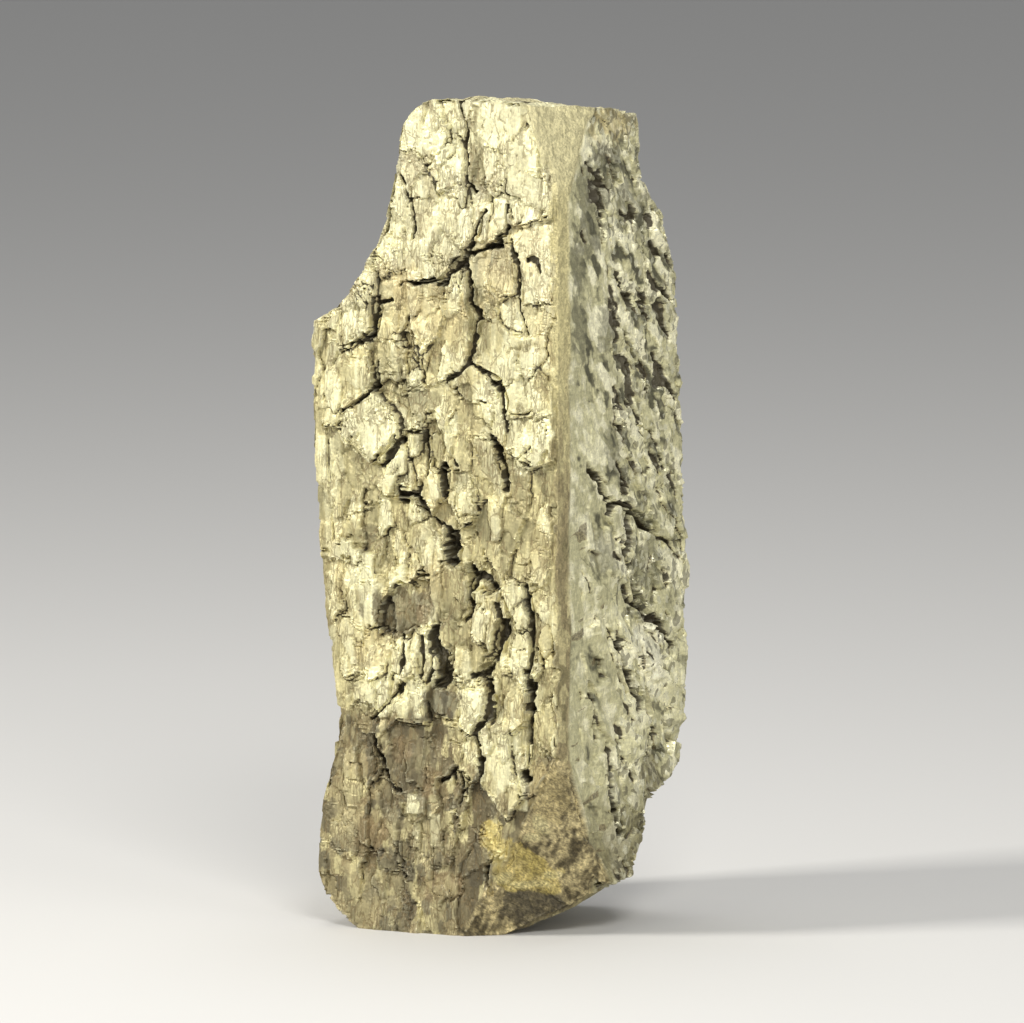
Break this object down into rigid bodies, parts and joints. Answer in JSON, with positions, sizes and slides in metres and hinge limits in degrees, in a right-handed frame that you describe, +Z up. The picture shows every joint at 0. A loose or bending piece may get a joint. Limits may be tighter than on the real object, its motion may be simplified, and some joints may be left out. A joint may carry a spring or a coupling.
{
  "type": "pyrite specimen",
  "caption": "Tall broken block of striated pyrite with a plated, cracked front and a smoother lined side, standing on its flat lower break.",
  "frame": {"origin": "middle of the bounding box, at its lower face, on the surface the specimen stands on", "axes": "+Z up along the specimen's length; the plated front faces -Y; the smoother lined side faces +X"},
  "size_m": [0.0608, 0.0544, 0.1681],
  "materials": {
    "pyrite": "pale brass-grey, metallic, finely striated"
  },
  "bodies": {
    "root": {"pyrite_crystal": "pyrite"}
  },
  "joints": []
}
